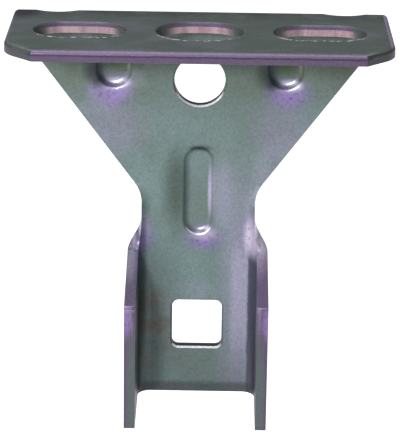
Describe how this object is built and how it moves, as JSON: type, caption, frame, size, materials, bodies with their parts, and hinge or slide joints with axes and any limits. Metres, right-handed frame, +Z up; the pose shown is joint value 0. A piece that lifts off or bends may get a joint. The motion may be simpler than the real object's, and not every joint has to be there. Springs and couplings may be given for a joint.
{
  "type": "ceiling bracket",
  "caption": "Folded sheet-steel ceiling bracket: slotted ceiling flange, tapering ribbed web with a round hole, flared shoulders and an open channel with a square bolt hole.",
  "frame": {"origin": "centre of the middle slot, on the face that lies against the ceiling", "axes": "+X along the row of slots, +Y from the open side of the channel to the back of the web, +Z up towards the ceiling"},
  "size_m": [0.0904, 0.0441, 0.1],
  "materials": {
    "passivated_steel": "zinc plated and passivated, satin, with a faint green and violet sheen"
  },
  "bodies": {
    "root": {"ceiling_bracket": "passivated_steel"}
  },
  "joints": []
}
